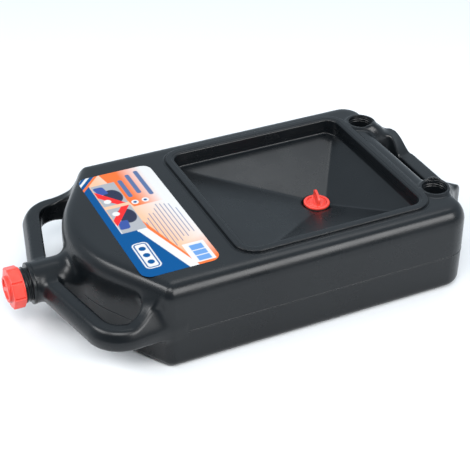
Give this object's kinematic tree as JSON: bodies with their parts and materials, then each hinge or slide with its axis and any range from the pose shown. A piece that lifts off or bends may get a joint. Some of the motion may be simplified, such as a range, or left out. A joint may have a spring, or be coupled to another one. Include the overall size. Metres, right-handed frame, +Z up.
{
  "type": "oil drain pan",
  "caption": "Low blow-moulded pan with a funnel recess in its deck, a screw-capped pouring spout, carrying handles, a screw drain plug and sockets that park the plug.",
  "frame": {"origin": "middle of the footprint, on the ground", "axes": "+X from the pouring spout to the rear handle, +Y to the left side, +Z up"},
  "size_m": [0.549, 0.2932, 0.107],
  "materials": {
    "tank_plastic": "black moulded polyethylene with a faint satin sheen",
    "closure_plastic": "smooth red moulded polypropylene",
    "seal_rubber": "smooth black nitrile rubber",
    "label_film": "printed film in plain colour fields, smooth"
  },
  "bodies": {
    "tank": {"tank_upper": "tank_plastic", "tank_lower": "tank_plastic", "funnel": "tank_plastic", "spout": "tank_plastic", "front_handle_left": "tank_plastic", "front_handle_right": "tank_plastic", "rear_handle": "tank_plastic", "plug_socket_left": "tank_plastic", "plug_socket_right": "tank_plastic", "label": "label_film"},
    "cap_liner": {"cap_liner": "seal_rubber"},
    "spout_cap": {"spout_cap": "closure_plastic"},
    "plug_washer": {"plug_washer": "seal_rubber"},
    "drain_plug": {"drain_plug": "closure_plastic"}
  },
  "joints": [
    {"name": "cap_travel", "type": "slide", "parent": "tank", "child": "cap_liner", "axis": [-1, 0, 0], "range_m": [0, 0.008]},
    {"name": "cap_turn", "type": "hinge", "parent": "cap_liner", "child": "spout_cap", "pos_m": [-0.26, 0, 0.054], "axis": [-1, 0, 0], "range_deg": [0, 720]},
    {"name": "plug_travel", "type": "slide", "parent": "tank", "child": "plug_washer", "axis": [0, 0, 1], "range_m": [0, 0.009]},
    {"name": "plug_turn", "type": "hinge", "parent": "plug_washer", "child": "drain_plug", "pos_m": [0.11, 0, 0.06], "axis": [0, 0, 1], "range_deg": [0, 1080]}
  ],
  "couplings": [
    {"joint": "cap_turn", "follows": "cap_travel", "rad_per_m": 1570.8},
    {"joint": "plug_turn", "follows": "plug_travel", "rad_per_m": 2094.4}
  ]
}
